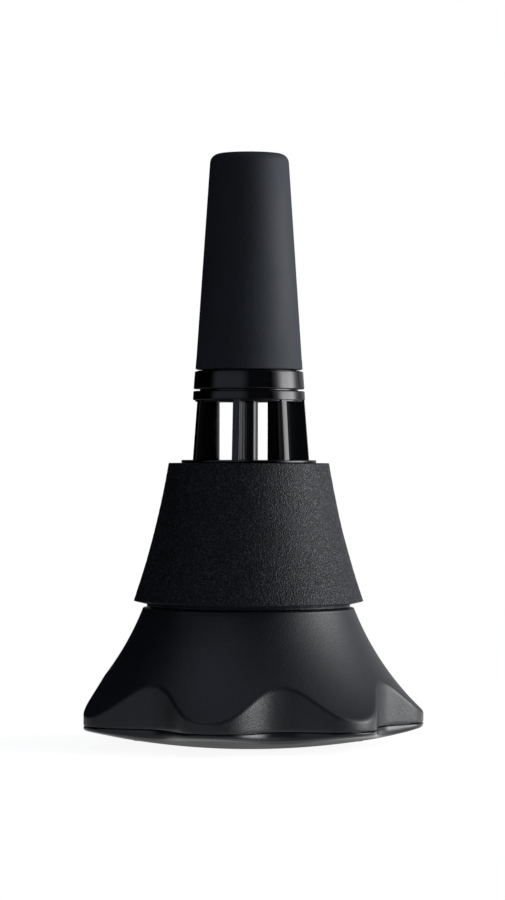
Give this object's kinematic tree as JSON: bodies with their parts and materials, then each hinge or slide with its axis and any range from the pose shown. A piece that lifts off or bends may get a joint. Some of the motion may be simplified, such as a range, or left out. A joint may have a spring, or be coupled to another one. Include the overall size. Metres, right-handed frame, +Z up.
{
  "type": "trumpet practice mute",
  "caption": "Bell-shaped practice mute with a rubber tip on a twist-lock core, an open air cage, a foam sleeve and a fluted shell on a domed base.",
  "frame": {"origin": "centre of the flat foot under the base plate, on the axis of the mute", "axes": "+Z up along the axis of the mute, from the base to the tip; +X through the middle of one lobe"},
  "size_m": [0.1001, 0.1016, 0.1768],
  "materials": {
    "cap_rubber": "soft-touch matte, very dark slate",
    "seal_rubber": "matte black",
    "gloss_black": "polished black",
    "foam": "fine closed-cell foam, matte black",
    "shell_plastic": "fine spark-eroded texture, near black",
    "plate_plastic": "satin near black",
    "screw_steel": "plain zinc-plated steel"
  },
  "bodies": {
    "mute_body": {"tip_seal": "seal_rubber", "cage": "gloss_black", "outlet_tube": "gloss_black", "head_grommet": "seal_rubber", "base_grommet": "seal_rubber", "foam_sleeve": "foam", "cone_body": "shell_plastic", "neck_gasket": "seal_rubber", "bell_shell": "shell_plastic", "base_plate": "plate_plastic", "damping_ring": "foam", "neck_screw_1": "screw_steel", "neck_screw_2": "screw_steel", "neck_screw_3": "screw_steel", "base_screw_1": "screw_steel", "base_screw_2": "screw_steel", "base_screw_3": "screw_steel"},
    "tip": {"tip_cap": "cap_rubber", "tip_core": "gloss_black"}
  },
  "joints": [
    {"name": "tip_twist", "type": "hinge", "parent": "mute_body", "child": "tip", "pos_m": [0, 0, 0.1058], "axis": [0, 0, 1], "range_deg": [0, 40]}
  ]
}
